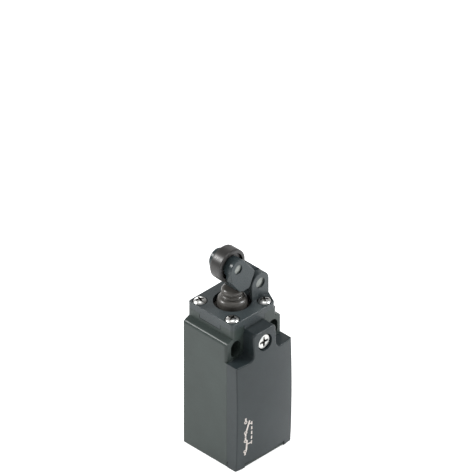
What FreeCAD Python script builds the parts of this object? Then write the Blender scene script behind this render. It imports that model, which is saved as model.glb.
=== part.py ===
"""Compact limit switch with a roller lever: plastic housing, hinged front cover, four-screw head, booted plunger,
fork lever with roller, and the contact block inside. Millimetres, +Z up, origin at the centre of the cable entry in the
bottom face, the front cover towards -Y. The plunger runs on the Z axis."""
import FreeCAD
import Part
import Sketcher
import math
import os
from FreeCAD import Placement, Rotation
from FreeCAD import Vector as V

doc = FreeCAD.newDocument("LimitSwitch")
sheet = doc.addObject("Spreadsheet::Sheet", "Dims")
DIMS = [
    ("house_w", 30.0), ("house_front", -12.0), ("house_back", 12.25), ("shoulder_side_z", 57.5), ("shoulder_top_z", 58.7),
    ("shoulder_r", 1.8), ("back_edge_r", 1.2), ("collar_w", 24.2), ("collar_top", 62.45), ("collar_r", 1.2), ("wall", 2.4),
    ("cavity_floor", 11.5), ("cavity_roof", 45.5), ("entry_rad", 9.2), ("slot_x", 10.0), ("slot_z", 53.6), ("slot_rad", 2.65),
    ("slot_len", 7.3), ("head_w", 24.2), ("head_low", 62.5), ("head_top", 65.3), ("head_bulge", 14.0), ("key_w", 11.0),
    ("key_low", 60.55), ("spigot_rad", 8.5), ("spigot_low", 58.75), ("pocket_rad", 7.5), ("pocket_floor", 61.0),
    ("screw_xy", 8.75), ("screw_seat", 64.1), ("cbore_rad", 2.95), ("pivot_x", 9.35), ("pivot_z", 71.9), ("ear_rad", 4.66),
    ("ear_out", 6.05), ("ear_in", 3.35), ("pivot_rad", 2.3), ("arm_x", -11.95), ("arm_z", 12.2), ("hub_rad", 4.2),
    ("lever_out", 6.05), ("lever_in", 2.95), ("rpin_rad", 2.0), ("roller_rad", 7.0), ("roller_half", 2.75),
    ("nose_rad", 2.2), ("nose_dx", -9.35), ("nose_dz", 2.4), ("stem_rad", 2.05), ("plunger_top", 71.0), ("plunger_low", 47.0),
    ("cover_ledge", 49.0), ("cover_top", 60.2), ("tab_half", 6.0), ("cover_back", -12.05), ("cover_front", -18.9),
    ("cover_low", 0.1), ("bow_flat", 100.0), ("bow_tall", 480.0), ("bow_mid_z", 27.0), ("hinge_y", -16.3), ("hinge_z", 1.1),
    ("barrel_rad", 1.1), ("barrel_half", 10.5), ("hpin_rad", 0.6), ("cscrew_z", 54.6), ("cscrew_rad", 1.7), ("cscrew_head", 3.15),
]
for i, (key, value) in enumerate(DIMS, 1):
    sheet.set("A%d" % i, key)
    sheet.set("B%d" % i, str(value))
    sheet.setAlias("B%d" % i, key)
doc.recompute()


class Q:
    """A size: its number now, and the sheet expression that it is bound to."""

    def __init__(self, v, e):
        self.v, self.e = float(v), e

    def _op(self, other, sign, swap=False):
        o = other if isinstance(other, Q) else Q(other, repr(float(other)))
        a, b = (o, self) if swap else (self, o)
        value = {"+": a.v + b.v, "-": a.v - b.v, "*": a.v * b.v, "/": a.v / b.v if b.v else 0.0}[sign]
        return Q(value, "(%s %s %s)" % (a.e, sign, b.e))

    def __add__(self, o): return self._op(o, "+")
    def __radd__(self, o): return self._op(o, "+", True)
    def __sub__(self, o): return self._op(o, "-")
    def __rsub__(self, o): return self._op(o, "-", True)
    def __mul__(self, o): return self._op(o, "*")
    def __rmul__(self, o): return self._op(o, "*", True)
    def __truediv__(self, o): return self._op(o, "/")
    def __neg__(self): return Q(-self.v, "(0 - %s)" % self.e)


class Sizes:
    pass


d = Sizes()
for key, value in DIMS:
    setattr(d, key, Q(value, "Dims." + key))


def num(q):
    return q.v if isinstance(q, Q) else float(q)


def bind(obj, path, q):
    if isinstance(q, Q):
        obj.setExpression(path, q.e)


def put(obj, x, y, z, rot=None):
    obj.Placement = Placement(V(num(x), num(y), num(z)), rot or Rotation())
    for axis, q in zip("xyz", (x, y, z)):
        bind(obj, "Placement.Base." + axis, q)
    return obj


def box(name, x0, x1, y0, y1, z0, z1, rot=None):
    b = doc.addObject("Part::Box", name)
    for prop, a, c in (("Length", x0, x1), ("Width", y0, y1), ("Height", z0, z1)):
        size = c - a
        setattr(b, prop, num(size))
        bind(b, prop, size)
    return put(b, x0, y0, z0, rot)


TURN = {"Z": Rotation(), "X": Rotation(V(0, 1, 0), 90), "Y": Rotation(V(1, 0, 0), -90)}


def cyl(name, radius, x, y, z, length, along="Z"):
    c = doc.addObject("Part::Cylinder", name)
    c.Radius, c.Height = num(radius), num(length)
    bind(c, "Radius", radius)
    bind(c, "Height", length)
    return put(c, x, y, z, TURN[along])


def fuse(name, *parts):
    f = doc.addObject("Part::MultiFuse", name)
    f.Shapes = list(parts)
    f.Refine = True
    return f


def cut(name, base, *tools):
    tool = tools[0] if len(tools) == 1 else fuse(name + "_tools", *tools)
    c = doc.addObject("Part::Cut", name)
    c.Base, c.Tool = base, tool
    c.Refine = True
    return c


def common(name, a, b):
    c = doc.addObject("Part::Common", name)
    c.Base, c.Tool = a, b
    c.Refine = True
    return c


def compound(name, parts):
    c = doc.addObject("Part::Compound", name)
    c.Links = list(parts)
    return c


def ring(name, r_out, r_in, z0, z1, x=0.0, y=0.0):
    return cut(name, cyl(name + "_outer", r_out, x, y, z0, z1 - z0), cyl(name + "_inner", r_in, x, y, z0 - 1.0, z1 - z0 + 2.0))


def rounded(name, base, radius, pick):
    """Rounds the edges of base that pick(edge) chooses."""
    doc.recompute()
    chosen = [(i, radius, radius) for i, e in enumerate(base.Shape.Edges, 1) if pick(e)]
    f = doc.addObject("Part::Fillet", name)
    f.Base = base
    f.Edges = chosen
    doc.recompute()
    if f.Shape.isNull() or not f.Shape.isValid() or not chosen or not f.Shape.Solids:
        raise ValueError("fillet %s failed on %d edges" % (name, len(chosen)))
    return f


def mid(e):
    return e.valueAt((e.FirstParameter + e.LastParameter) / 2)


def near(a, b, tol=0.02):
    return abs(a - b) < tol


def straight(e, axis):
    if not isinstance(e.Curve, (Part.Line, Part.LineSegment)):
        return False
    t = e.Vertexes[-1].Point - e.Vertexes[0].Point
    return t.Length > 1e-6 and abs(abs(t.normalize().dot(axis)) - 1) < 1e-4


def new_body(name):
    return doc.addObject("PartDesign::Body", name)


def sketch(body, name, role, offset=0.0):
    s = body.newObject("Sketcher::SketchObject", name)
    plane = [f for f in body.Origin.OriginFeatures if f.Role == role][0]
    s.AttachmentSupport = [(plane, "")]
    s.MapMode = "FlatFace"
    s.AttachmentOffset = Placement(V(0, 0, num(offset)), Rotation())
    bind(s, "AttachmentOffset.Base.z", offset)
    return s


def pin_point(s, geo, pos, x, y):
    for kind, q in (("DistanceX", x), ("DistanceY", y)):
        if abs(num(q)) < 1e-9:
            s.addConstraint(Sketcher.Constraint("PointOnObject", geo, pos, -2 if kind == "DistanceX" else -1))
            continue
        i = s.addConstraint(Sketcher.Constraint(kind, -1, 1, geo, pos, num(q)))
        bind(s, "Constraints[%d]" % i, q)


def outline(s, points):
    """A closed outline of straight sides, each corner held by its distances from the origin."""
    first = s.GeometryCount
    n = len(points)
    for i in range(n):
        a, b = points[i], points[(i + 1) % n]
        s.addGeometry(Part.LineSegment(V(num(a[0]), num(a[1]), 0), V(num(b[0]), num(b[1]), 0)))
    for i in range(n):
        s.addConstraint(Sketcher.Constraint("Coincident", first + i, 2, first + (i + 1) % n, 1))
    for i in range(n):
        pin_point(s, first + i, 1, points[i][0], points[i][1])


def circle(s, x, y, r):
    g = s.addGeometry(Part.Circle(V(num(x), num(y), 0), V(0, 0, 1), num(r)))
    pin_point(s, g, 3, x, y)
    i = s.addConstraint(Sketcher.Constraint("Radius", g, num(r)))
    bind(s, "Constraints[%d]" % i, r)


def pad(body, s, length, both=False):
    p = body.newObject("PartDesign::Pad", s.Name + "_pad")
    p.Profile = s
    p.Length = num(length)
    bind(p, "Length", length)
    p.Midplane = both
    s.Visibility = False
    return p


def pocket(body, s, length, both=False, reverse=False):
    doc.recompute()
    before = body.Shape.Volume
    p = body.newObject("PartDesign::Pocket", s.Name + "_pocket")
    p.Profile = s
    p.Length = num(length)
    bind(p, "Length", length)
    p.Midplane = both
    p.Reversed = reverse
    doc.recompute()
    if not body.Shape.Volume < before - 1e-3:
        raise ValueError(s.Name + " pocket cuts nothing")
    return p


def soften(body, radius, pick):
    """A PartDesign fillet on the edges of the body's tip that pick chooses."""
    doc.recompute()
    tip = body.Tip
    names = ["Edge%d" % i for i, e in enumerate(tip.Shape.Edges, 1) if pick(e)]
    f = body.newObject("PartDesign::Fillet", body.Name + "_round%d" % len(body.Group))
    f.Base = (tip, names)
    f.Radius = num(radius)
    bind(f, "Radius", radius)
    doc.recompute()
    if not names or not f.Shape.isValid():
        raise ValueError("fillet failed in " + body.Name)
    return f


def revolved(name, points):
    """A body turned about its own Z axis from points (radius, height)."""
    body = new_body(name)
    s = sketch(body, name + "_profile", "XZ_Plane")
    outline(s, points)
    r = body.newObject("PartDesign::Revolution", name + "_turn")
    r.Profile = s
    r.ReferenceAxis = (s, ["V_Axis"])
    r.Angle = 360
    doc.recompute()
    return body


def spring(name, radius, wire, z0, z1, turns):
    """A helical compression spring on the Z axis, from z0 to z1 over its wire."""
    pitch = (z1 - z0 - 2 * wire) / turns
    helix = Part.makeHelix(pitch, pitch * turns, radius)
    prof = Part.Wire([Part.makeCircle(wire, V(radius, 0, 0), V(0, 1, 0))])
    shape = Part.Wire(helix.Edges).makePipeShell([prof], True, True)
    shape.translate(V(0, 0, z0 + wire))
    f = doc.addObject("Part::Feature", name)
    f.Shape = shape if shape.ShapeType == "Solid" else shape.Solids[0]
    return f


NODES = {}


def node(name, obj):
    obj.Label = name
    NODES[name] = obj
    return obj


X, Y, Z = V(1, 0, 0), V(0, 1, 0), V(0, 0, 1)
half_w = d.house_w / 2
depth = d.house_back - d.house_front

# ---------------------------------------------------------------- housing
hb = new_body("housing_block")
s = sketch(hb, "housing_profile", "XZ_Plane", -d.house_back)
outline(s, [(-half_w, 0), (half_w, 0), (half_w, d.shoulder_side_z), (d.collar_w / 2, d.shoulder_top_z),
            (-d.collar_w / 2, d.shoulder_top_z), (-half_w, d.shoulder_side_z)])
pad(hb, s, depth)
soften(hb, d.shoulder_r, lambda e: straight(e, Y) and near(mid(e).z, 57.5, 0.1) and near(abs(mid(e).x), 15))
soften(hb, d.back_edge_r, lambda e: straight(e, Z) and near(abs(mid(e).x), 15) and near(mid(e).y, 12.25))
hb2 = soften(hb, 0.5, lambda e: near(mid(e).z, 0) and mid(e).y > -11.9 and not (straight(e, X) and mid(e).y < 0))
collar_box = box("collar_box", -d.collar_w / 2, d.collar_w / 2, d.house_front, d.collar_w / 2, d.shoulder_top_z - 1.2, d.collar_top)
collar = rounded("collar_round", collar_box, 1.2, lambda e: straight(e, Z))
key = d.key_w / 2 + 0.22
cw = d.collar_w / 2
key_y = box("key_slot_y", -key, key, -cw - 1, cw + 1, d.key_low - 0.22, d.collar_top + 1)
key_x = box("key_slot_x", -cw - 1, cw + 1, -key, key, d.key_low - 0.22, d.collar_top + 1)
sill = box("sill_slab", -d.barrel_half, d.barrel_half, d.hinge_y, d.house_front + 1, 0.0, d.hinge_z + 0.85)
barrel = cyl("sill_barrel", d.barrel_rad, -d.barrel_half, d.hinge_y, d.hinge_z, d.barrel_half * 2, "X")
raw = fuse("housing_raw", hb, collar, sill, barrel)
cav = rounded("cavity_round", box("cavity_box", -(half_w - d.wall), half_w - d.wall, d.house_front - 1, d.house_back - d.wall,
                                  d.cavity_floor, d.cavity_roof), 2.0, lambda e: straight(e, Y))
tools = [cav, key_y, key_x,
         cyl("head_seat", d.spigot_rad + 0.1, 0, 0, d.spigot_low - 0.75, 6.0),
         cyl("passage", 3.8, 0, 0, d.cavity_roof - 1, d.spigot_low - d.cavity_roof + 1),
         cyl("entry_bore", d.entry_rad, 0, 0, -1.0, d.cavity_floor + 1.5),
         cyl("cover_screw_bore", 2.3, 0, d.house_front - 1, d.cscrew_z, 5.5, "Y"),
         cyl("hinge_bore", d.hpin_rad, -d.barrel_half - 1, d.hinge_y, d.hinge_z, d.barrel_half * 2 + 2, "X")]
reach = (d.slot_len / 2 - d.slot_rad)
for side in (-1, 1):
    tag = "left" if side < 0 else "right"
    sx = d.slot_x * side
    for up in (-1, 1):
        tools.append(cyl("slot_%s_%d" % (tag, up + 1), d.slot_rad, sx, d.house_front - 1, d.slot_z + reach * up, depth + 2, "Y"))
    tools.append(box("slot_mid_" + tag, sx - d.slot_rad, sx + d.slot_rad, d.house_front - 1, d.house_back + 1, d.slot_z - reach, d.slot_z + reach))
    corner = box("corner_block_" + tag, *((half_w - 1.5, half_w + 0.5) if side > 0 else (-half_w - 0.5, -half_w + 1.5)),
                 d.house_front - 0.5, d.house_front + 1.5, d.cover_ledge, d.shoulder_top_z + 1)
    tools.append(cut("corner_trim_" + tag, corner, cyl("corner_core_" + tag, 1.5, (half_w - 1.5) * side, d.house_front + 1.5, d.cover_ledge - 1, 14.0)))
for n, (sx, sy) in enumerate([(-1, -1), (1, -1), (1, 1), (-1, 1)]):
    tools.append(cyl("head_screw_bore_%d" % n, 1.27, d.screw_xy * sx, d.screw_xy * sy, 58.0, 6.0))
for side in (-1, 1):
    tools.append(cyl("block_screw_bore_%d" % (side + 1), 1.27, 10.3 * side, d.house_back - d.wall - 0.5, 30.7, 2.3, "Y"))
housing = node("housing", cut("housing_shape", raw, *tools))

node("hinge_pin", cyl("hinge_pin_shape", d.hpin_rad - 0.01, -12.9, d.hinge_y, d.hinge_z, 25.8, "X"))

# ---------------------------------------------------------------- head
hd = new_body("head_plate")
s = sketch(hd, "head_outline", "XY_Plane", d.head_low)
hw = d.head_w / 2
outline(s, [(-hw, -hw), (11.0, -hw), (d.head_bulge, -6.1), (d.head_bulge, 6.1), (11.0, hw), (-hw, hw)])
pad(hd, s, d.head_top - d.head_low)
soften(hd, 1.2, lambda e: straight(e, Z) and near(mid(e).x, -12.1))
soften(hd, 1.6, lambda e: straight(e, Z) and near(mid(e).x, 11.0))
soften(hd, 0.3, lambda e: near(e.BoundBox.ZMin, 65.3) and near(e.BoundBox.ZMax, 65.3) and not (straight(e, Y) and mid(e).x > 13.5))
kw = d.key_w / 2
keys = [box("key_front", -kw, kw, -hw, -hw + 2.4, d.key_low, d.head_low + 0.5), box("key_back", -kw, kw, hw - 2.4, hw, d.key_low, d.head_low + 0.5),
        box("key_left", -hw, -hw + 2.4, -kw, kw, d.key_low, d.head_low + 0.5), box("key_right", hw - 2.4, hw, -kw, kw, d.key_low, d.head_low + 0.5)]
spigot = cyl("spigot", d.spigot_rad, 0, 0, d.spigot_low, d.head_low - d.spigot_low + 0.5)
ears = []
for tag, y0, y1 in (("front", -d.ear_out, -d.ear_in), ("back", d.ear_in, d.ear_out)):
    blk = box("ear_block_" + tag, d.pivot_x - d.ear_rad, d.pivot_x + d.ear_rad, y0, y1, d.head_top - 1.0, d.pivot_z)
    top = cyl("ear_top_" + tag, d.ear_rad, d.pivot_x, y0, d.pivot_z, y1 - y0, "Y")
    both = fuse("ear_" + tag, blk, top)
    out_y = -6.05 if y0.v < 0 else 6.05
    ears.append(rounded("ear_round_" + tag, both, 0.35, lambda e: near(e.BoundBox.YMin, out_y, 1e-3) and near(e.BoundBox.YMax, out_y, 1e-3)
                        and e.BoundBox.ZMax > 65.0))
head_raw = fuse("head_raw", hd, spigot, *(keys + ears))
tools = [cyl("boot_pocket", d.pocket_rad, 0, 0, d.pocket_floor, 5.0),
         cyl("boot_relief", 6.9, 0, 0, d.pocket_floor, 9.0),
         cyl("bush_bore", 3.6, 0, 0, d.spigot_low - 1, 5.0),
         cyl("pivot_bore", d.pivot_rad + 0.01, d.pivot_x, -10.0, d.pivot_z, 20.0, "Y")]
for n, (sx, sy) in enumerate([(-1, -1), (1, -1), (1, 1), (-1, 1)]):
    tools.append(cyl("seat_%d" % n, d.cbore_rad, d.screw_xy * sx, d.screw_xy * sy, d.screw_seat, 3.5))
    tools.append(cyl("shank_bore_%d" % n, 1.45, d.screw_xy * sx, d.screw_xy * sy, d.key_low - 1, 6.0))
head = node("head", cut("head_shape", head_raw, *tools))

node("head_gasket", ring("head_gasket_shape", d.spigot_rad, 5.2, d.spigot_low - 0.72, d.spigot_low - 0.03))


def cross(name, size, width, depth_z, x, y, z, turn):
    """The cross recess of a screw, sunk from z."""
    a = box(name + "_a", -size / 2, size / 2, -width / 2, width / 2, -depth_z, 1.0)
    b = box(name + "_b", -width / 2, width / 2, -size / 2, size / 2, -depth_z, 1.0)
    f = fuse(name, a, b)
    f.Placement = Placement(V(num(x), num(y), num(z)), Rotation(V(0, 0, 1), turn))
    for axis, q in zip("xyz", (x, y, z)):
        bind(f, "Placement.Base." + axis, q)
    return f


screws = []
for n, (sx, sy, turn) in enumerate([(-1, -1, 20), (1, -1, 55), (1, 1, 10), (-1, 1, 70)]):
    body = revolved("head_screw_%d" % n, [(0, 58.3), (0.9, 58.3), (1.25, 58.7), (1.25, 64.12), (2.75, 64.12), (2.75, 64.75), (2.62, 65.25),
                                          (2.25, 65.65), (1.6, 65.98), (0.8, 66.15), (0, 66.2)])
    put(body, d.screw_xy * sx, d.screw_xy * sy, 0)
    screws.append(cut("head_screw_cut_%d" % n, body, cross("head_cross_%d" % n, 3.4, 0.8, 1.15, d.screw_xy * sx, d.screw_xy * sy, 66.2, turn)))
node("head_screws", compound("head_screws_shape", screws))
node("pivot_pin", cyl("pivot_pin_shape", d.pivot_rad, d.pivot_x, -5.35, d.pivot_z, 10.7, "Y"))
node("plunger_bush", revolved("plunger_bush_shape", [(d.stem_rad + 0.05, d.spigot_low + 0.02), (3.58, d.spigot_low + 0.02), (3.58, d.pocket_floor), (4.4, d.pocket_floor),
                                                     (4.4, d.pocket_floor + 0.5), (d.stem_rad + 0.05, d.pocket_floor + 0.5)]))
node("boot", revolved("boot_shape", [(5.1, 61.0), (7.3, 61.0), (7.3, 61.8), (5.85, 61.8), (5.85, 66.2), (5.6, 66.9), (5.0, 67.45), (3.95, 67.85), (4.4, 68.2), (4.4, 68.55),
                                     (3.95, 68.9), (4.2, 69.5), (4.25, 71.2), (3.7, 71.85), (2.9, 72.05), (0, 72.05), (0, 71.1), (3.2, 71.1), (3.25, 67.5), (4.5, 66.6), (5.0, 66.0)]))
node("boot_ring", ring("boot_ring_shape", d.pocket_rad - 0.05, 6.15, d.pocket_floor + 0.85, d.pocket_floor + 1.7))
node("plunger_spring", spring("plunger_spring_shape", 2.7, 0.3, 61.52, 69.66, 5))

# ---------------------------------------------------------------- lever and roller
lv = new_body("lever_block")
s = sketch(lv, "lever_outline", "XZ_Plane")


def px(dx):
    return d.pivot_x + dx


def pz(dz):
    return d.pivot_z + dz


outline(s, [(px(-8.579), pz(14.705)), (px(-3.0), pz(7.2)), (px(-4.75), pz(3.3)), (px(-5.9), pz(0.75)), (px(-8.9), pz(0.5)), (px(-11.4), pz(1.4)),
            (px(-15.3), pz(6.7)), (px(-16.094), pz(11.516))])
pad(lv, s, d.lever_out * 2, both=True)


def at_lever(e, dx, dz):
    return straight(e, Y) and near(mid(e).x, 9.35 + dx, 0.03) and near(mid(e).z, 71.9 + dz, 0.03)


soften(lv, 0.6, lambda e: at_lever(e, -3.0, 7.2))
soften(lv, 1.1, lambda e: at_lever(e, -5.9, 0.75))
soften(lv, 3.5, lambda e: at_lever(e, -11.4, 1.4))
soften(lv, 3.0, lambda e: at_lever(e, -15.3, 6.7))
ax, az = d.pivot_x + d.arm_x, d.pivot_z + d.arm_z
hub = cyl("lever_hub", d.hub_rad, ax, -d.lever_out, az, d.lever_out * 2, "Y")

def rim(e):
    """An edge of the lever's outer faces, other than the one hidden in the hub."""
    return near(abs(mid(e).y), 6.05) and near(e.BoundBox.YMin, e.BoundBox.YMax, 1e-3) and not near(mid(e).z - 71.9, 13.11, 0.05)


lv_round = rounded("lever_block_round", lv, 0.3, rim)
hub_round = rounded("lever_hub_round", hub, 0.3, lambda e: near(abs(mid(e).y), 6.05) and near(e.BoundBox.YMin, e.BoundBox.YMax, 1e-3))
outer_round = fuse("lever_outer", lv_round, hub_round)
slot = cyl("roller_slot", d.roller_rad + 0.45, ax, -d.lever_in, az, d.lever_in * 2, "Y")
fork = cut("lever_fork", outer_round, slot)
kb = new_body("lever_knuckle")
s = sketch(kb, "knuckle_outline", "XZ_Plane")
outline(s, [(px(3.295), pz(3.295)), (px(-4.2), pz(10.79)), (px(-7.5), pz(6.0)), (px(-6.2), pz(0.9)), (px(-3.8), pz(-2.6)), (px(0), pz(0))])
pad(kb, s, 6.0, both=True)
knuckle_round = cyl("knuckle_round", d.ear_rad, d.pivot_x, -3.0, d.pivot_z, 6.0, "Y")
knuckle = cut("knuckle_cut", fuse("knuckle_raw", kb, knuckle_round), cyl("knuckle_slot", d.roller_rad + 0.45, ax, -4.0, az, 8.0, "Y"))
nose = cyl("lever_nose", d.nose_rad, d.pivot_x + d.nose_dx, -2.95, d.pivot_z + d.nose_dz, 5.9, "Y")
bosses = [cyl("hub_boss_a", d.hub_rad - 0.1, ax, -d.lever_in - 0.2, az, 1.3, "Y"), cyl("hub_boss_b", d.hub_rad - 0.1, ax, d.lever_in - 1.1, az, 1.3, "Y")]
lever_raw = fuse("lever_raw", fork, knuckle, nose, *bosses)
lever = node("lever", cut("lever_shape", lever_raw, cyl("lever_pivot_bore", d.pivot_rad + 0.05, d.pivot_x, -8.0, d.pivot_z, 16.0, "Y"),
                          cyl("lever_roller_bore", d.rpin_rad + 0.01, ax, -8.0, az, 16.0, "Y")))
node("roller_pin", cyl("roller_pin_shape", d.rpin_rad, ax, -5.45, az, 10.9, "Y"))
rr, rh = d.roller_rad, d.roller_half
rb = revolved("roller_shape", [(d.rpin_rad + 0.05, -1.65), (rr - 1.5, -1.65), (rr - 1.4, -rh), (rr - 0.5, -rh), (rr - 0.12, -rh + 0.15), (rr, -rh + 0.55), (rr, rh - 0.55),
                               (rr - 0.12, rh - 0.15), (rr - 0.5, rh), (rr - 1.4, rh), (rr - 1.5, 1.65), (d.rpin_rad + 0.05, 1.65)])
rb.Placement = Placement(V(ax.v, 0, az.v), Rotation(V(1, 0, 0), -90))
bind(rb, "Placement.Base.x", ax)
bind(rb, "Placement.Base.z", az)
node("roller", rb)

# ---------------------------------------------------------------- plunger
st = d.stem_rad
node("plunger", revolved("plunger_shape", [(0, d.plunger_low), (st - 0.35, d.plunger_low), (st, d.plunger_low + 0.35), (st, 57.93), (1.5, 57.93), (1.5, 58.57), (st, 58.57),
                                           (st, d.plunger_top - 1.3), (3.05, d.plunger_top - 1.3), (3.05, d.plunger_top - 0.3), (2.75, d.plunger_top), (0, d.plunger_top)]))
clip = ring("clip_ring", 3.4, 1.52, 57.96, 58.54)
node("plunger_clip", cut("plunger_clip_shape", clip, box("clip_mouth", -1.2, 1.2, -4.0, 0.0, 57.0, 59.5)))

# ---------------------------------------------------------------- contact block
base_raw = box("block_box", -11.8, 11.8, -4.0, 9.7, 16.0, 45.0)
base_hollow = cut("block_hollow", box("hollow_box", -10.0, 10.0, -5.0, 8.0, 18.0, 43.2),
                  cyl("pillar_a", 1.9, -10.3, -6.0, 30.7, 15.0, "Y"), cyl("pillar_b", 1.9, 10.3, -6.0, 30.7, 15.0, "Y"))
base_cuts = [base_hollow, cyl("carrier_bore", 2.35, 0, 0, 42.0, 4.0), cyl("fix_a", 1.3, -10.3, -6.0, 30.7, 17.0, "Y"), cyl("fix_b", 1.3, 10.3, -6.0, 30.7, 17.0, "Y")]
node("contact_block_base", cut("contact_block_base_shape", base_raw, *base_cuts))
cap_cuts = []
for side in (-1, 1):
    sx = 6.0 * side
    for tag, z0, z1, zs in (("nc", 34.0, 34.8, 38.6), ("no", 26.3, 27.1, 22.9)):
        cap_cuts.append(box("cap_slot_%s%d" % (tag, side + 1), sx - 1.95, sx + 1.95, -6.0, -3.5, z0 - 0.05, z1 + 0.05))
        cap_cuts.append(cyl("cap_tap_%s%d" % (tag, side + 1), 1.42, sx, -6.0, zs, 2.5, "Y"))
    cap_cuts.append(cyl("cap_fix_%d" % (side + 1), 1.3, 10.3 * side, -6.0, 30.7, 2.5, "Y"))
cap_plate = box("cap_plate", -11.8, 11.8, -5.6, -4.02, 16.0, 45.0)
cap_ribs = [box("cap_rib_mid", -1.0, 1.0, -9.4, -5.5, 17.0, 44.5), box("cap_rib_low", -11.8, 11.8, -8.2, -5.5, 16.0, 17.6),
            box("cap_rib_side_l", -11.8, -10.9, -8.2, -5.5, 34.6, 44.5), box("cap_rib_side_r", 10.9, 11.8, -8.2, -5.5, 34.6, 44.5),
            box("cap_rib_side_m", -11.8, -10.9, -8.2, -5.5, 17.0, 27.0), box("cap_rib_side_n", 10.9, 11.8, -8.2, -5.5, 17.0, 27.0)]
node("contact_block_cap", cut("contact_block_cap_shape", fuse("cap_raw", cap_plate, *cap_ribs), *cap_cuts))
for tag, z0, z1, v0, v1, zs in (("nc", 34.0, 34.8, 34.0, 42.2, 38.6), ("no", 26.3, 27.1, 19.3, 27.1, 22.9)):
    strips = []
    for side in (-1, 1):
        sx = 6.0 * side
        blade = box("%s_blade_%d" % (tag, side + 1), sx - 1.9, sx + 1.9, -6.5, 2.6, z0, z1)
        plate = box("%s_plate_%d" % (tag, side + 1), sx - 2.9, sx + 2.9, -6.5, -5.65, v0, v1)
        strips.append(cut("%s_contact_%d" % (tag, side + 1), fuse("%s_strip_%d" % (tag, side + 1), blade, plate),
                          cyl("%s_hole_%d" % (tag, side + 1), 1.5, sx, -8.0, zs, 4.0, "Y")))
    node(tag + "_contacts", compound(tag + "_contacts_shape", strips))
tscrews, clamps = [], []
k = 0
for side in (-1, 1):
    for zs in (38.6, 22.9):
        k += 1
        sx = 6.0 * side
        t = cyl("t_head_%d" % k, 2.4, sx, -9.3, zs, 1.7, "Y")
        shank = cyl("t_shank_%d" % k, 1.4, sx, -7.7, zs, 3.7, "Y")
        ca = box("t_cross_a%d" % k, sx - 1.5, sx + 1.5, -9.8, -8.4, zs - 0.35, zs + 0.35)
        cb = box("t_cross_b%d" % k, sx - 0.35, sx + 0.35, -9.8, -8.4, zs - 1.5, zs + 1.5)
        tscrews.append(cut("t_screw_%d" % k, fuse("t_solid_%d" % k, t, shank), ca, cb))
        w = box("clamp_plate_%d" % k, sx - 2.8, sx + 2.8, -7.55, -6.6, zs - 2.8, zs + 2.8)
        clamps.append(cut("clamp_%d" % k, w, cyl("clamp_hole_%d" % k, 1.5, sx, -8.0, zs, 2.0, "Y")))
node("terminal_screws", compound("terminal_screws_shape", tscrews))
node("terminal_clamps", compound("terminal_clamps_shape", clamps))
bscrews = []
for side in (-1, 1):
    hd2 = cyl("b_head_%d" % (side + 1), 2.1, 10.3 * side, -7.3, 30.7, 1.65, "Y")
    sh2 = cyl("b_shank_%d" % (side + 1), 1.25, 10.3 * side, -6.0, 30.7, 17.4, "Y")
    slt = box("b_slot_%d" % (side + 1), 10.3 * side - 3.0, 10.3 * side + 3.0, -7.8, -6.6, 30.35, 31.05)
    bscrews.append(cut("b_screw_%d" % (side + 1), fuse("b_solid_%d" % (side + 1), hd2, sh2), slt))
node("block_screws", compound("block_screws_shape", bscrews))

cstem = cyl("carrier_stem", 2.2, 0, 0, 42.0, 4.9)
cbody = box("carrier_body", -3.0, 3.0, -2.5, 2.5, 25.0, 42.5)
cwin = box("carrier_window", -4.0, 4.0, -1.65, 1.65, 32.7, 38.5)
cfoot = cyl("carrier_foot", 1.0, 0, 0, 22.9, 2.5)
node("contact_carrier", cut("contact_carrier_shape", fuse("carrier_raw", cstem, cbody, cfoot), cwin))
node("contact_bridge", fuse("contact_bridge_shape", box("bridge_bar", -7.7, 7.7, -1.55, 1.55, 32.75, 33.35), cyl("bridge_dimple", 0.7, 0, 0, 33.3, 0.7)))
tips = []
for side in (-1, 1):
    tips.append(cyl("tip_up_%d" % (side + 1), 1.15, 6.0 * side, 0, 33.36, 0.6))
    tips.append(cyl("tip_down_%d" % (side + 1), 1.15, 6.0 * side, 0, 32.2, 0.54))
node("contact_tips", compound("contact_tips_shape", tips))
node("bridge_spring", spring("bridge_spring_shape", 1.15, 0.22, 33.37, 38.48, 6))
node("carrier_spring", spring("carrier_spring_shape", 1.6, 0.25, 18.02, 24.97, 4))

# ---------------------------------------------------------------- front cover
cv = new_body("cover_block")
s = sketch(cv, "cover_outline", "XZ_Plane", -d.cover_back)
outline(s, [(-half_w, d.cover_low), (-10.75, d.cover_low), (-10.75, 2.4), (10.75, 2.4), (10.75, d.cover_low), (half_w, d.cover_low), (half_w, d.cover_ledge),
            (d.tab_half, d.cover_ledge), (d.tab_half, d.cover_top), (-d.tab_half, d.cover_top), (-d.tab_half, d.cover_ledge), (-half_w, d.cover_ledge)])
pad(cv, s, 7.5)
soften(cv, 2.6, lambda e: straight(e, Y) and near(abs(mid(e).x), 6.0) and near(mid(e).z, 49.0))
soften(cv, 1.5, lambda e: straight(e, Y) and near(abs(mid(e).x), 6.0) and near(mid(e).z, 60.2))
bow = doc.addObject("Part::Torus", "front_bow")
bow.Radius1, bow.Radius2 = 380.0, 100.0
bow.setExpression("Radius2", d.bow_flat.e)
bow.setExpression("Radius1", (d.bow_tall - d.bow_flat).e)
bow.Angle1, bow.Angle2, bow.Angle3 = -180, 180, 360
put(bow, 0, d.cover_front + d.bow_tall, d.bow_mid_z, Rotation(V(0, 1, 0), 90))
skin = common("cover_skin", cv, bow)
doc.recompute()


def front_edge(e):
    m = mid(e)
    if m.y > -16.0 or straight(e, Y):
        return False
    return not (m.z < 3.0 and abs(m.x) < 10.9)


skin_round = rounded("cover_skin_round", skin, 0.55, front_edge)
hollow = rounded("cover_hollow", box("cover_hollow_box", -12.7, 12.7, -15.9, d.cover_back + 1, 11.45, 45.6), 2.0, lambda e: straight(e, Y))
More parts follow.
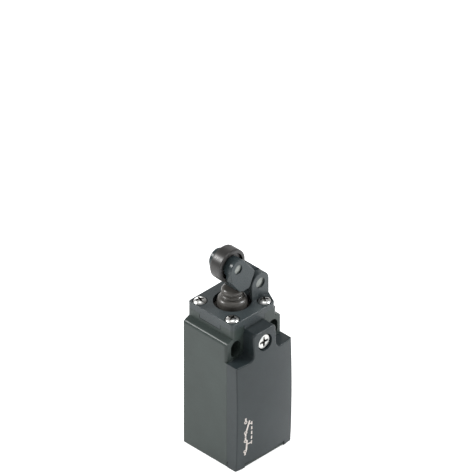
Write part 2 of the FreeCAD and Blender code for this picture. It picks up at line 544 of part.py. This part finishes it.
# the gasket lies in a groove round the hollow, in the cover's back
g_out = rounded("groove_outer", box("groove_outer_box", -14.3, 14.3, d.cover_back - 0.85, d.cover_back + 0.5, 9.8, 47.3), 3.0, lambda e: straight(e, Y))
g_in = rounded("groove_inner", box("groove_inner_box", -13.3, 13.3, d.cover_back - 2, d.cover_back + 1, 10.8, 46.3), 2.2, lambda e: straight(e, Y))
o2 = rounded("gasket_outer", box("gasket_outer_box", -14.25, 14.25, d.cover_back - 0.82, d.cover_back + 0.02, 9.85, 47.25), 2.95, lambda e: straight(e, Y))
i2 = rounded("gasket_inner", box("gasket_inner_box", -13.35, 13.35, d.cover_back - 2, d.cover_back + 1, 10.75, 46.35), 2.25, lambda e: straight(e, Y))
node("cover_gasket", cut("cover_gasket_shape", o2, i2))
tools = [hollow, cut("gasket_groove", g_out, g_in),
         cyl("cover_screw_hole", d.cscrew_rad + 0.1, 0, -20.0, d.cscrew_z, 9.0, "Y"),
         cyl("cover_screw_seat", d.cscrew_head + 0.45, 0, -20.0, d.cscrew_z, 4.55, "Y"),
         cyl("retainer_seat", 3.2, 0, d.cover_back - 1.0, d.cscrew_z, 2.0, "Y"),
         cyl("hinge_hole", d.hpin_rad + 0.05, -13.1, d.hinge_y, d.hinge_z, 26.2, "X")]
# the lower back corners are cut round the hinge so that the cover swings clear of the housing
toe = box("toe_box", -16.0, 16.0, -13.2, d.cover_back + 1, -1.0, 2.6)
toe_core = cyl("toe_core", 4.05, -17.0, d.hinge_y, d.hinge_z, 34.0, "X")
tools.append(cut("toe_trim", toe, toe_core))
cover = node("cover", cut("cover_shape", skin_round, *tools))
chead = cyl("cscrew_head_part", d.cscrew_head, 0, -17.25, d.cscrew_z, 1.75, "Y")
chead_round = rounded("cscrew_head_round", chead, 0.3, lambda e: near(mid(e).y, -17.25) and near(e.BoundBox.YMin, e.BoundBox.YMax, 1e-3))
cshank = cyl("cscrew_shank", d.cscrew_rad, 0, -15.8, d.cscrew_z, 7.8, "Y")
ca = box("cscrew_cross_a", -2.1, 2.1, -18.0, -16.0, d.cscrew_z - 0.5, d.cscrew_z + 0.5)
cb = box("cscrew_cross_b", -0.5, 0.5, -18.0, -16.0, d.cscrew_z - 2.1, d.cscrew_z + 2.1)
ccross = fuse("cscrew_cross", ca, cb)
cdot = cyl("cscrew_centre", 0.95, 0, -18.0, d.cscrew_z, 2.0, "Y")
node("cover_screw", cut("cover_screw_shape", fuse("cscrew_solid", chead_round, cshank), ccross, cdot))
ret = cut("retainer_ring", cyl("retainer_outer", 3.1, 0, -13.0, d.cscrew_z, 0.7, "Y"), cyl("retainer_inner", d.cscrew_rad + 0.01, 0, -14.0, d.cscrew_z, 3.0, "Y"))
node("screw_retainer", ret)

# ---------------------------------------------------------------- checks and export
doc.recompute()
bad = [o.Name for o in doc.Objects if "Invalid" in o.State or "Error" in o.State]
if bad:
    raise SystemExit("failed objects: %s" % bad)
os.makedirs("parts", exist_ok=True)
for old in os.listdir("parts"):
    if old.endswith(".step"):
        os.remove(os.path.join("parts", old))
for name, obj in NODES.items():
    shape = obj.Shape
    if shape.isNull() or not shape.isValid() or not shape.Solids:
        raise SystemExit("bad shape: " + name)
    b = shape.BoundBox
    print("%-20s solids %d  vol %9.2f  x %7.2f %7.2f  y %7.2f %7.2f  z %7.2f %7.2f" % (
        name, len(shape.Solids), shape.Volume, b.XMin, b.XMax, b.YMin, b.YMax, b.ZMin, b.ZMax))
    shape.exportStep(os.path.join("parts", name + ".step"))
print("nodes", len(NODES))
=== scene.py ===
import bpy
import bmesh
import math
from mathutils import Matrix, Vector


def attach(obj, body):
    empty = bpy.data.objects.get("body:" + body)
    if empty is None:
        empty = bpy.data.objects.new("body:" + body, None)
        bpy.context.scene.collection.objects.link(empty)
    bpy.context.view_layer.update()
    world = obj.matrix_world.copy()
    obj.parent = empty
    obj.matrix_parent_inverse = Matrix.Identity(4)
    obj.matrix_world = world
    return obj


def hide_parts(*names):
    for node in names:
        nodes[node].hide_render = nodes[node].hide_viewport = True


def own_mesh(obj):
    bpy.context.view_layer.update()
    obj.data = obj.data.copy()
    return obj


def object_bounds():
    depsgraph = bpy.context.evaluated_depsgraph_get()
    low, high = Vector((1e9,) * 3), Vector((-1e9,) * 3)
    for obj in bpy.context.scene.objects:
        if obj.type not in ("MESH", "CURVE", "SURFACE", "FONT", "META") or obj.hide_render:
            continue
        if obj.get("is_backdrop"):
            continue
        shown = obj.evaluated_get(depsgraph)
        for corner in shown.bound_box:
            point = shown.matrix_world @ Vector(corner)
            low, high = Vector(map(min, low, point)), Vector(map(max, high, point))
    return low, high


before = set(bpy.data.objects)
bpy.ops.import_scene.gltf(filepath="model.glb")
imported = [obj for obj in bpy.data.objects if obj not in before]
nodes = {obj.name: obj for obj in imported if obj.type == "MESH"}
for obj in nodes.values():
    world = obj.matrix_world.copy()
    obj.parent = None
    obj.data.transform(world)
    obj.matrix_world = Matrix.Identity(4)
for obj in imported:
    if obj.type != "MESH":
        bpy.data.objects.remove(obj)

cad_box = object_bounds()
MM = 0.001
scene = bpy.context.scene


# ------------------------------------------------------------------ camera, light, floor
half = 0.0909
lens = 1500.0
cam_data = bpy.data.cameras.new("cam")
cam_data.type = "PERSP"
cam_data.lens = lens
cam_data.sensor_width = 36.0
cam_data.clip_end = 50.0
cam = bpy.data.objects.new("cam", cam_data)
scene.collection.objects.link(cam)
aim = Vector((1.302, -1.302, 95.2)) * MM
toward = Vector((-1, -1, 1)).normalized()
cam.location = aim + toward * (half / (18.0 / lens))
cam.rotation_euler = (-toward).to_track_quat("-Z", "Y").to_euler()
scene.camera = cam
scene.view_settings.view_transform = "Standard"
scene.view_settings.look = "None"
scene.view_settings.exposure = 0.0
scene.view_settings.gamma = 1.0


def area(name, loc, target, size, power, colour=(1, 1, 1)):
    data = bpy.data.lights.new(name, "AREA")
    data.shape = "DISK"
    data.size = size
    data.energy = power
    data.color = colour
    o = bpy.data.objects.new(name, data)
    o.location = loc
    o.rotation_euler = (Vector(loc) - Vector(target)).to_track_quat("Z", "Y").to_euler()
    scene.collection.objects.link(o)
    return o


middle = (0.0, 0.0, 0.045)
area("side_left", (-0.90, 0.05, 0.12), middle, 0.55, 0.45, (1.0, 0.985, 0.955))
area("side_front", (0.05, -0.90, 0.16), middle, 0.50, 0.3, (0.93, 0.97, 1.0))
area("edge_back_left", (-0.50, 0.52, 0.56), middle, 0.20, 5.6)
area("edge_front_right", (0.52, -0.50, 0.56), middle, 0.20, 5.2, (0.96, 0.98, 1.0))
area("rim_back", (0.45, 0.65, 0.25), middle, 0.40, 1.6)
area("top_soft", (-0.05, -0.10, 0.95), middle, 0.60, 2.6)

world = bpy.data.worlds.new("studio")
scene.world = world
world.use_nodes = True
bg = world.node_tree.nodes["Background"]
bg.inputs["Color"].default_value = (1.0, 1.0, 1.0, 1.0)
bg.inputs["Strength"].default_value = 0.42


# ------------------------------------------------------------------ materials
def new_mat(name):
    m = bpy.data.materials.new(name)
    m.use_nodes = True
    nt = m.node_tree
    return m, nt, nt.nodes["Principled BSDF"]


def add(nt, kind, **props):
    n = nt.nodes.new(kind)
    for k, v in props.items():
        setattr(n, k, v)
    return n


def ramp(nt, source, stops):
    r = add(nt, "ShaderNodeValToRGB")
    while len(r.color_ramp.elements) < len(stops):
        r.color_ramp.elements.new(0.5)
    for e, (pos, col) in zip(r.color_ramp.elements, stops):
        e.position = pos
        e.color = tuple(col) + (1.0,)
    nt.links.new(source, r.inputs["Fac"])
    return r


def scaled(c, k):
    return tuple(max(0.0, min(1.0, v * k)) for v in c)


def coords(nt, stretch=(1, 1, 1)):
    tc = add(nt, "ShaderNodeTexCoord")
    mp = add(nt, "ShaderNodeMapping")
    mp.inputs["Scale"].default_value = stretch
    nt.links.new(tc.outputs["Object"], mp.inputs["Vector"])
    return mp.outputs["Vector"]


def noise(nt, vec, scale, detail=4.0, rough=0.55):
    n = add(nt, "ShaderNodeTexNoise")
    n.inputs["Scale"].default_value = scale
    n.inputs["Detail"].default_value = detail
    n.inputs["Roughness"].default_value = rough
    nt.links.new(vec, n.inputs["Vector"])
    return n


def rough_range(nt, bsdf, source, low, high):
    mr = add(nt, "ShaderNodeMapRange")
    mr.inputs["From Min"].default_value = 0.3
    mr.inputs["From Max"].default_value = 0.7
    mr.inputs["To Min"].default_value = low
    mr.inputs["To Max"].default_value = high
    nt.links.new(source, mr.inputs["Value"])
    nt.links.new(mr.outputs["Result"], bsdf.inputs["Roughness"])


def bump(nt, bsdf, source, strength, distance, under=None):
    b = add(nt, "ShaderNodeBump")
    b.inputs["Strength"].default_value = strength
    b.inputs["Distance"].default_value = distance
    nt.links.new(source, b.inputs["Height"])
    if under is not None:
        nt.links.new(under.outputs["Normal"], b.inputs["Normal"])
    nt.links.new(b.outputs["Normal"], bsdf.inputs["Normal"])
    return b


def plastic(name, colour, rough=(0.27, 0.38), grain=2600.0, grain_strength=0.16, flow=0.10, spec=0.27):
    """Moulded, glass-filled plastic: an eroded grain, slow colour flow and a few paler fibres near the skin."""
    m, nt, b = new_mat(name)
    vec = coords(nt)
    slow = noise(nt, vec, 90.0, 3.0)
    fine = noise(nt, vec, grain, 5.0, 0.65)
    fibre = noise(nt, coords(nt, (1.0, 1.0, 0.22)), 5200.0, 2.0, 0.7)
    c = ramp(nt, slow.outputs["Fac"], [(0.3, scaled(colour, 1 - flow)), (0.7, scaled(colour, 1 + flow))])
    speck = ramp(nt, fibre.outputs["Fac"], [(0.60, (0, 0, 0)), (0.78, (1, 1, 1))])
    mix = add(nt, "ShaderNodeMix", data_type="RGBA", blend_type="MIX")
    nt.links.new(speck.outputs["Color"], mix.inputs["Factor"])
    nt.links.new(c.outputs["Color"], mix.inputs["A"])
    mix.inputs["B"].default_value = scaled(colour, 1.28) + (1.0,)
    nt.links.new(mix.outputs["Result"], b.inputs["Base Color"])
    rough_range(nt, b, fine.outputs["Fac"], *rough)
    first = bump(nt, b, slow.outputs["Fac"], 0.05, 0.0004)
    bump(nt, b, fine.outputs["Fac"], grain_strength, 0.00006, first)
    b.inputs["Specular IOR Level"].default_value = spec
    return m


def rubber(name, colour, rough=(0.22, 0.34), sheen=0.15):
    m, nt, b = new_mat(name)
    vec = coords(nt)
    slow = noise(nt, vec, 160.0, 3.0)
    fine = noise(nt, vec, 1800.0, 4.0)
    c = ramp(nt, slow.outputs["Fac"], [(0.3, scaled(colour, 0.90)), (0.7, scaled(colour, 1.12))])
    nt.links.new(c.outputs["Color"], b.inputs["Base Color"])
    rough_range(nt, b, fine.outputs["Fac"], *rough)
    bump(nt, b, fine.outputs["Fac"], 0.05, 0.00002)
    b.inputs["Sheen Weight"].default_value = sheen
    b.inputs["Sheen Roughness"].default_value = 0.4
    return m


def metal(name, colour, rough=(0.22, 0.36), stretch=(1, 1, 1), tint=None, painted_recess_shade=False):
    """Plated or ground metal, with fine tool marks along the given stretch and faint clouding, and optional painted
    shade that darkens its recesses.
    """
    m, nt, b = new_mat(name)
    slow = noise(nt, coords(nt), 420.0, 4.0)
    marks = noise(nt, coords(nt, stretch), 3200.0, 6.0, 0.7)
    c = ramp(nt, slow.outputs["Fac"], [(0.28, scaled(tint or colour, 0.86)), (0.52, colour), (0.76, scaled(colour, 1.08))])
    # Painted shade: ambient occlusion darkens the base colour in recesses and crevices, standing in for the shade that
    # falls there.
    if painted_recess_shade:
        ao = add(nt, "ShaderNodeAmbientOcclusion", samples=6)
        ao.inputs["Distance"].default_value = 0.0016
        recess_shade_ramp = ramp(nt, ao.outputs["AO"], [(0.28, (0.20, 0.19, 0.18)), (0.74, (1, 1, 1))])
        mix = add(nt, "ShaderNodeMix", data_type="RGBA", blend_type="MULTIPLY")
        mix.inputs["Factor"].default_value = 1.0
        nt.links.new(c.outputs["Color"], mix.inputs["A"])
        nt.links.new(recess_shade_ramp.outputs["Color"], mix.inputs["B"])
        nt.links.new(mix.outputs["Result"], b.inputs["Base Color"])
    else:
        nt.links.new(c.outputs["Color"], b.inputs["Base Color"])
    b.inputs["Metallic"].default_value = 1.0
    rough_range(nt, b, marks.outputs["Fac"], *rough)
    bump(nt, b, marks.outputs["Fac"], 0.16, 0.00003)
    return m


GREY = (0.0272, 0.0370, 0.0336)
FRONT = (0.027, 0.037, 0.040)
mats = {
    "housing": plastic("housing_plastic", GREY),
    "cover": plastic("cover_plastic", scaled(FRONT, 0.66), rough=(0.27, 0.38), grain=3200.0, grain_strength=0.14),
    "head": plastic("head_plastic", scaled((0.0285, 0.0355, 0.0375), 1.20), rough=(0.24, 0.36), grain=3000.0, grain_strength=0.18),
    "lever": plastic("lever_plastic", scaled(FRONT, 0.92), rough=(0.24, 0.36), grain=3000.0, grain_strength=0.16),
    "cap": plastic("cap_plastic", (0.022, 0.022, 0.024), rough=(0.35, 0.5)),
    "block": plastic("block_plastic", (0.56, 0.50, 0.36), rough=(0.38, 0.52), flow=0.06),
    "carrier": plastic("carrier_plastic", (0.42, 0.035, 0.022), rough=(0.3, 0.42), flow=0.06),
    "bush": plastic("bush_plastic", (0.66, 0.65, 0.60), rough=(0.22, 0.34), flow=0.04),
    "boot": rubber("boot_rubber", (0.060, 0.056, 0.050), rough=(0.27, 0.37), sheen=0.10),
    "gasket": rubber("gasket_rubber", (0.014, 0.014, 0.014), rough=(0.5, 0.7), sheen=0.3),
    # The zinc parts carry painted shade in their recesses, from ambient-occlusion darkening of the colour.
    "zinc": metal("zinc_plate", (0.60, 0.60, 0.58), rough=(0.26, 0.40), tint=(0.54, 0.56, 0.57), painted_recess_shade=True),
    "axle": metal("axle_end", (0.215, 0.228, 0.216), rough=(0.34, 0.48), tint=(0.23, 0.24, 0.23)),
    "pin": metal("ground_pin", (0.66, 0.66, 0.65), rough=(0.22, 0.36), stretch=(1, 1, 1)),
    "spring": metal("spring_wire", (0.42, 0.42, 0.44), rough=(0.28, 0.42)),
    "brass": metal("brass_strip", (0.78, 0.56, 0.24), rough=(0.24, 0.4), stretch=(0.15, 1, 1)),
    "silver": metal("silver_tip", (0.86, 0.85, 0.83), rough=(0.24, 0.38)),
}


def roller_material():
    """Turned acetal: faint rings round the roller's own axis."""
    m, nt, b = new_mat("roller_acetal")
    turn = noise(nt, coords(nt, (0.08, 1.0, 0.08)), 3600.0, 5.0, 0.6)
    slow = noise(nt, coords(nt), 240.0, 3.0)
    c = ramp(nt, slow.outputs["Fac"], [(0.3, (0.0110, 0.0102, 0.0096)), (0.7, (0.0178, 0.0162, 0.0148))])
    nt.links.new(c.outputs["Color"], b.inputs["Base Color"])
    rough_range(nt, b, turn.outputs["Fac"], 0.30, 0.46)
    bump(nt, b, turn.outputs["Fac"], 0.22, 0.00004)
    return m


mats["roller"] = roller_material()

USE = {
    "housing": "housing", "cover": "cover", "head": "head", "lever": "lever", "roller": "roller", "boot": "boot", "boot_ring": "boot",
    "cover_gasket": "gasket", "head_gasket": "gasket", "head_screws": "zinc", "pivot_pin": "axle", "roller_pin": "axle", "cover_screw": "zinc",
    "hinge_pin": "pin", "plunger": "pin", "plunger_bush": "bush", "plunger_clip": "spring", "plunger_spring": "spring",
    "carrier_spring": "spring", "bridge_spring": "spring", "contact_block_base": "block", "contact_block_cap": "cap",
    "nc_contacts": "brass", "no_contacts": "brass", "contact_bridge": "brass", "contact_tips": "silver", "terminal_screws": "zinc",
    "terminal_clamps": "zinc", "block_screws": "zinc", "contact_carrier": "carrier", "screw_retainer": "cap",
}
for name, obj in nodes.items():
    obj.data.materials.clear()
    obj.data.materials.append(mats[USE[name]])


# ------------------------------------------------------------------ pieces
def link(name, bm, mat, smooth=True):
    me = bpy.data.meshes.new(name)
    bm.to_mesh(me)
    bm.free()
    if smooth:
        me.polygons.foreach_set("use_smooth", [True] * len(me.polygons))
    me.materials.append(mat)
    o = bpy.data.objects.new(name, me)
    scene.collection.objects.link(o)
    return o


def catmull(points, per=6):
    """A smooth open line through the points."""
    out = []
    n = len(points)
    for i in range(n - 1):
        p0, p1, p2, p3 = (points[max(i - 1, 0)], points[i], points[i + 1], points[min(i + 2, n - 1)])
        for k in range(per):
            t = k / per
            out.append(tuple(0.5 * ((2 * p1[j]) + (-p0[j] + p2[j]) * t + (2 * p0[j] - 5 * p1[j] + 4 * p2[j] - p3[j]) * t * t
                                    + (-p0[j] + 3 * p1[j] - 3 * p2[j] + p3[j]) * t ** 3) for j in (0, 1)))
    out.append(tuple(points[-1]))
    return out


def lathe(name, profile, mat, segments=96, closed=True):
    """Turns (radius, height) points in millimetres about the Z axis."""
    bm = bmesh.new()
    rings = []
    for r, z in profile:
        if r < 1e-6:
            rings.append([bm.verts.new((0, 0, z * MM))])
        else:
            rings.append([bm.verts.new((r * math.cos(2 * math.pi * k / segments) * MM, r * math.sin(2 * math.pi * k / segments) * MM, z * MM))
                          for k in range(segments)])
    pairs = list(zip(rings, rings[1:]))
    if closed:
        pairs.append((rings[-1], rings[0]))
    for a, c in pairs:
        for k in range(segments):
            j = (k + 1) % segments
            if len(a) == 1 and len(c) == 1:
                break
            if len(a) == 1:
                bm.faces.new((a[0], c[k], c[j]))
            elif len(c) == 1:
                bm.faces.new((a[k], a[j], c[0]))
            else:
                bm.faces.new((a[k], a[j], c[j], c[k]))
    bmesh.ops.recalc_face_normals(bm, faces=bm.faces)
    return link(name, bm, mat)


def coil(name, radius, wire, z0, z1, turns, mat, per_turn=36, around=12):
    """A compression spring on the Z axis, its wire capped flat at both ends."""
    bm = bmesh.new()
    rings = []
    total = per_turn * turns
    rise = (z1 - z0 - 2 * wire)
    for i in range(total + 1):
        u = i / total
        a = 2 * math.pi * turns * u
        z = z0 + wire + rise * u
        centre = Vector((radius * math.cos(a), radius * math.sin(a), z))
        out = Vector((math.cos(a), math.sin(a), 0))
        rings.append([bm.verts.new((centre + (out * math.cos(t) + Vector((0, 0, 1)) * math.sin(t)) * wire) * MM)
                      for t in (2 * math.pi * k / around for k in range(around))])
    for a, c in zip(rings, rings[1:]):
        for k in range(around):
            j = (k + 1) % around
            bm.faces.new((a[k], a[j], c[j], c[k]))
    bm.faces.new(rings[0][::-1])
    bm.faces.new(rings[-1])
    bmesh.ops.recalc_face_normals(bm, faces=bm.faces)
    return link(name, bm, mat)


outer = catmull([(5.85, 61.85), (5.85, 63.0), (5.85, 64.6), (5.83, 65.9), (5.6, 66.75), (5.0, 67.4), (4.3, 67.72), (4.02, 67.92), (4.2, 68.06), (4.42, 68.22), (4.42, 68.48),
                 (4.15, 68.68), (3.98, 68.9), (4.08, 69.2), (4.24, 69.8), (4.26, 70.6), (4.12, 71.2), (3.6, 71.75), (2.8, 71.98), (1.4, 72.04), (0.0, 72.05)], 5)
inner = [(0.0, 71.15), (2.4, 71.12), (3.1, 71.0), (3.2, 70.4), (3.2, 68.6), (3.25, 67.6), (4.0, 67.0), (4.7, 66.5), (5.05, 65.8), (5.1, 64.0), (5.1, 61.02)]
profile = [(7.25, 61.02), (7.28, 61.4), (7.25, 61.78), (6.1, 61.8)] + outer + inner
boot = lathe("boot_moulding", profile, mats["boot"], 112)
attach(boot, "root_body")
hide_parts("boot")

coil_a = coil("plunger_coil", 2.7, 0.3, 61.54, 69.64, 5, mats["spring"])
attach(coil_a, "root_body")
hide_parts("plunger_spring")
coil_b = coil("carrier_coil", 1.6, 0.25, 18.04, 24.95, 4, mats["spring"])
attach(coil_b, "root_body")
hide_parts("carrier_spring")


def front_y(x, z):
    """The bowed front of the cover, in millimetres."""
    rho = 380.0 + math.sqrt(100.0 ** 2 - x * x)
    return (-18.9 + 480.0) - math.sqrt(rho * rho - (z - 27.0) ** 2)


def print_material():
    m, nt, b = new_mat("pad_print")
    wear = noise(nt, coords(nt), 900.0, 4.0)
    c = ramp(nt, wear.outputs["Fac"], [(0.35, (0.44, 0.40, 0.37)), (0.6, (0.56, 0.51, 0.47))])
    nt.links.new(c.outputs["Color"], b.inputs["Base Color"])
    rough_range(nt, b, wear.outputs["Fac"], 0.5, 0.65)
    return m


mats["print"] = print_material()


def strip_print(bm, x0, z0, x1, z1, width, steps=14, lift=0.02, thick=0.03):
    """A thin printed stroke that follows the cover's bow."""
    d = Vector((x1 - x0, z1 - z0))
    nrm = Vector((-d.y, d.x)).normalized() * width / 2
    rows = []
    for i in range(steps + 1):
        u = i / steps
        cx, cz = x0 + (x1 - x0) * u, z0 + (z1 - z0) * u
        row = []
        for sgn in (-1, 1):
            px, pz = cx + nrm.x * sgn, cz + nrm.y * sgn
            y = front_y(px, pz)
            row.append((bm.verts.new((px * MM, (y - lift) * MM, pz * MM)), bm.verts.new((px * MM, (y + thick) * MM, pz * MM))))
        rows.append(row)
    for a, c in zip(rows, rows[1:]):
        bm.faces.new((a[0][0], a[1][0], c[1][0], c[0][0]))
        bm.faces.new((a[1][0], a[1][1], c[1][1], c[1][0]))
        bm.faces.new((a[0][1], a[0][0], c[0][0], c[0][1]))
    for row in (rows[0], rows[-1]):
        bm.faces.new((row[0][0], row[0][1], row[1][1], row[1][0]))


def ring_print(bm, cx, cz, r, width, n=28):
    pts = [(cx + r * math.cos(2 * math.pi * k / n), cz + r * math.sin(2 * math.pi * k / n)) for k in range(n + 1)]
    for a, c in zip(pts, pts[1:]):
        strip_print(bm, a[0], a[1], c[0], c[1], width, 1)


# a plain contact diagram: an open contact above a closed one, joined by a dashed link
bm = bmesh.new()
col = -10.9
for zc, opened in ((19.9, True), (10.9, False)):
    for sgn in (-1, 1):
        ring_print(bm, col, zc + 2.5 * sgn, 0.55, 0.5)
        strip_print(bm, col, zc + 3.05 * sgn, col, zc + 4.3 * sgn, 0.75, 4)
    lean = 1.9 if opened else 0.75
    strip_print(bm, col + (0.55 if not opened else 0.3), zc - 2.2, col + lean, zc + 2.6, 0.75)
for z0, z1 in ((21.6, 20.1), (19.3, 17.8), (17.0, 15.5), (14.7, 13.2), (12.4, 10.9)):
    strip_print(bm, -7.9, z0, -7.9, z1, 0.6, 3)
strip_print(bm, col + 1.6, 20.9, -7.9, 20.9, 0.5, 4)
strip_print(bm, col + 0.9, 11.6, -7.9, 11.6, 0.5, 4)
bmesh.ops.recalc_face_normals(bm, faces=bm.faces)
mark = link("contact_diagram", bm, mats["print"], smooth=False)
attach(mark, "cover_body")

# the thread of the cable entry
bm = bmesh.new()
rings = []
seg, pitch, turns = 72, 1.5, 6
for i in range(seg * turns + 1):
    a = 2 * math.pi * i / seg
    z = 1.0 + pitch * i / seg
    taper = min(1.0, i / 18, (seg * turns - i) / 18)
    row = []
    for dr, dz in ((0.0, -0.55), (-0.42 * taper, -0.12), (-0.42 * taper, 0.12), (0.0, 0.55)):
        r = 9.19 + dr
        row.append(bm.verts.new((r * math.cos(a) * MM, r * math.sin(a) * MM, (z + dz) * MM)))
    rings.append(row)
for a, c in zip(rings, rings[1:]):
    for k in range(3):
        bm.faces.new((a[k], a[k + 1], c[k + 1], c[k]))
thread = link("entry_thread", bm, mats["housing"], smooth=False)
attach(thread, "root_body")

# ------------------------------------------------------------------ floor
bm = bmesh.new()
bmesh.ops.create_grid(bm, x_segments=2, y_segments=2, size=3.0)
for v in bm.verts:
    v.co.z = -0.00002
m, nt, b = new_mat("floor_paper")
n = noise(nt, coords(nt), 60.0, 4.0)
c = ramp(nt, n.outputs["Fac"], [(0.3, (0.90, 0.90, 0.90)), (0.7, (0.93, 0.93, 0.93))])
nt.links.new(c.outputs["Color"], b.inputs["Base Color"])
b.inputs["Roughness"].default_value = 0.9
b.inputs["Emission Color"].default_value = (1.0, 1.0, 1.0, 1.0)
b.inputs["Emission Strength"].default_value = 0.56
floor = link("floor", bm, m, smooth=False)
floor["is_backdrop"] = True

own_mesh(boot)
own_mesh(coil_a)
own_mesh(coil_b)


def plain(v):
    try:
        return [plain(x) for x in v]
    except TypeError:
        return float(v)


{"cad": plain(cad_box), "visual": plain(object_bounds())}
